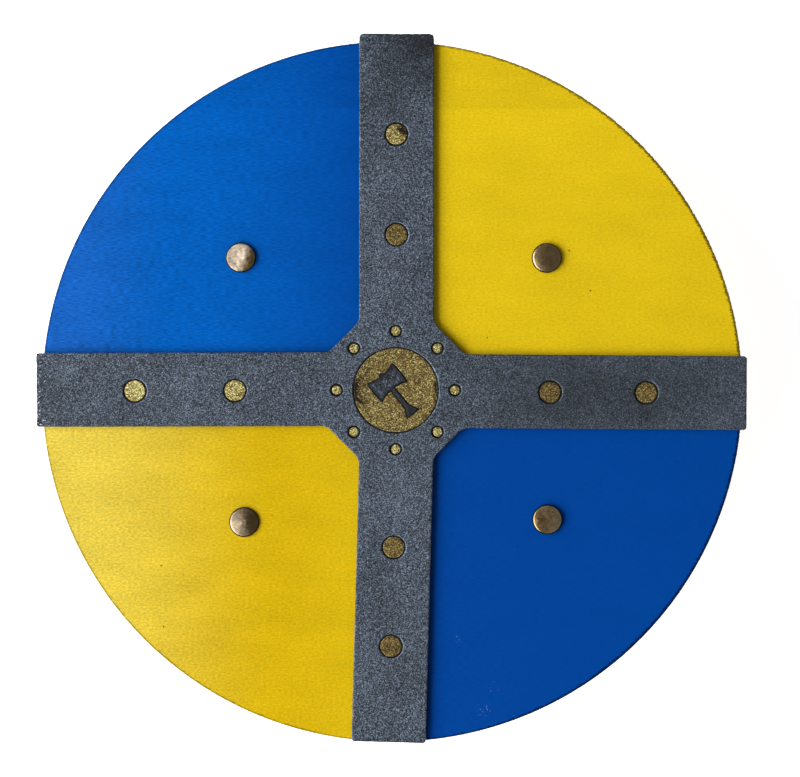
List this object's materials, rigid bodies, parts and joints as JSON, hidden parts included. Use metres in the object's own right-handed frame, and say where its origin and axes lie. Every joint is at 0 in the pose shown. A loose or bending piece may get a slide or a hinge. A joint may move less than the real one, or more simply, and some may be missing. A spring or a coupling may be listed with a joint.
{
  "type": "toy round shield",
  "caption": "Small round plywood play shield, painted in blue and yellow quarters under a dark foam cross with gold spots, with domed rivets and arm straps behind.",
  "frame": {"origin": "on the axis of the round board, at the level of the surface that the shield lies on, which is the flat undersides of the straps' crowns", "axes": "+Z towards the painted front, +Y towards the top of the shield, +X to the right as seen from the front"},
  "size_m": [0.3551, 0.3544, 0.0476],
  "materials": {
    "painted_plywood": "satin paint in blue and yellow quarters over thin plywood, bare on the back",
    "graphite_foam": "closed-cell foam sheet with a graphite metallic paint, and gold paint in its recesses",
    "antique_brass": "antiqued brass plating, lightly dented",
    "strap_leather": "brown strap leather with darker cut edges"
  },
  "bodies": {
    "root": {"board": "painted_plywood", "cross": "graphite_foam", "rivet_cap_top_left": "antique_brass", "rivet_cap_top_right": "antique_brass", "rivet_cap_bottom_left": "antique_brass", "rivet_cap_bottom_right": "antique_brass", "rivet_post_top_left": "antique_brass", "rivet_post_top_right": "antique_brass", "rivet_post_bottom_left": "antique_brass", "rivet_post_bottom_right": "antique_brass", "strap_left": "strap_leather", "strap_right": "strap_leather"}
  },
  "joints": []
}
